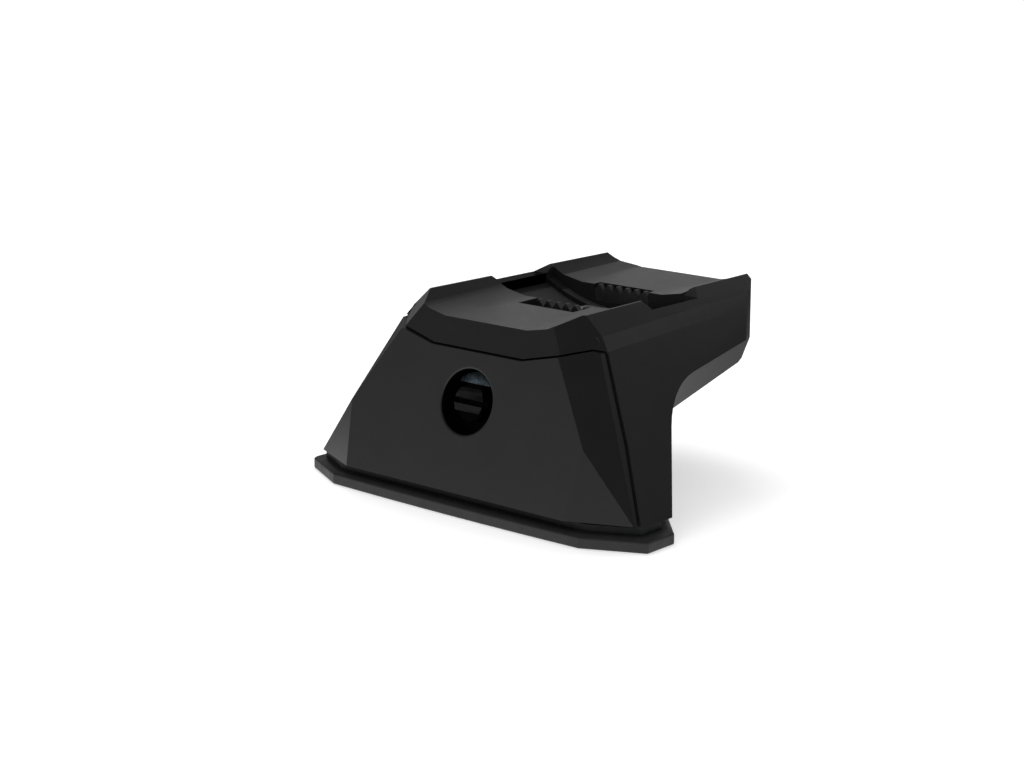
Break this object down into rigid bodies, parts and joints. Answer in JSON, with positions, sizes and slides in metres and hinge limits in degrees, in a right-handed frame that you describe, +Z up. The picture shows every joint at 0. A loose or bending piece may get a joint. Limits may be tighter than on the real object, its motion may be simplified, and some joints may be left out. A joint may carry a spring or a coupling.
{
  "type": "roof bar foot",
  "caption": "Black moulded roof bar foot: rubber-faced base, leaning leg, grooved cradle for a flat bar, wedge-driven clamp tee and a lockable front cover.",
  "frame": {"origin": "midway between the two roof fixing holes, on the underside of the base pad", "axes": "+X along the vehicle, +Y inboard along the roof bar, +Z up"},
  "size_m": [0.15, 0.1275, 0.0676],
  "materials": {
    "pad_rubber": "matte",
    "dark_steel": "satin black",
    "zinc_steel": "satin, zinc plated",
    "grip_steel": "blackened",
    "black_nylon": "fine moulded grain",
    "cast_block": "as cast",
    "lock_metal": "fine grained, blue-grey",
    "lock_black": "gloss black"
  },
  "bodies": {
    "foot": {"base_pad": "pad_rubber", "base_plate": "dark_steel", "base_screws": "zinc_steel", "fixing_sleeves": "zinc_steel", "tower_body": "black_nylon", "keel_cover": "black_nylon", "keel_screws": "zinc_steel", "bar_cradle": "black_nylon", "cradle_screws": "zinc_steel", "front_grip": "grip_steel", "rear_grip": "grip_steel", "keeper": "zinc_steel", "keeper_screws": "zinc_steel", "bolt_washer": "zinc_steel"},
    "drive": {"drive_bolt": "zinc_steel", "bolt_clip": "zinc_steel"},
    "carriage": {"clamp_carriage": "cast_block"},
    "tee": {"clamp_tee": "zinc_steel", "tee_pin": "zinc_steel"},
    "cover": {"front_cover": "black_nylon", "lock_housing": "lock_black", "lock_hood": "lock_metal", "lock_nut": "zinc_steel"},
    "lock": {"lock_barrel": "lock_black", "lock_clip": "zinc_steel", "lock_cam": "zinc_steel", "cam_screw": "zinc_steel"}
  },
  "joints": [
    {"name": "drive_turn", "type": "hinge", "parent": "foot", "child": "drive", "pos_m": [0, 0.012, 0.0405], "axis": [0, -1, 0], "range_deg": [0, 3600]},
    {"name": "carriage_slide", "type": "slide", "parent": "foot", "child": "carriage", "axis": [0, 1, 0], "range_m": [0, 0.01]},
    {"name": "tee_slide", "type": "slide", "parent": "foot", "child": "tee", "axis": [0, 0, 1], "range_m": [0, 0.01]},
    {"name": "cover_lift", "type": "slide", "parent": "foot", "child": "cover", "axis": [0, -1, 0], "range_m": [0, 0.06]},
    {"name": "lock_turn", "type": "hinge", "parent": "cover", "child": "lock", "pos_m": [0, -0.0196, 0.0369], "axis": [0, 0.9608, -0.2773], "range_deg": [0, 90]}
  ],
  "couplings": [
    {"joint": "drive_turn", "follows": "carriage_slide", "rad_per_m": 6283.2},
    {"joint": "tee_slide", "follows": "carriage_slide", "ratio": 1}
  ]
}
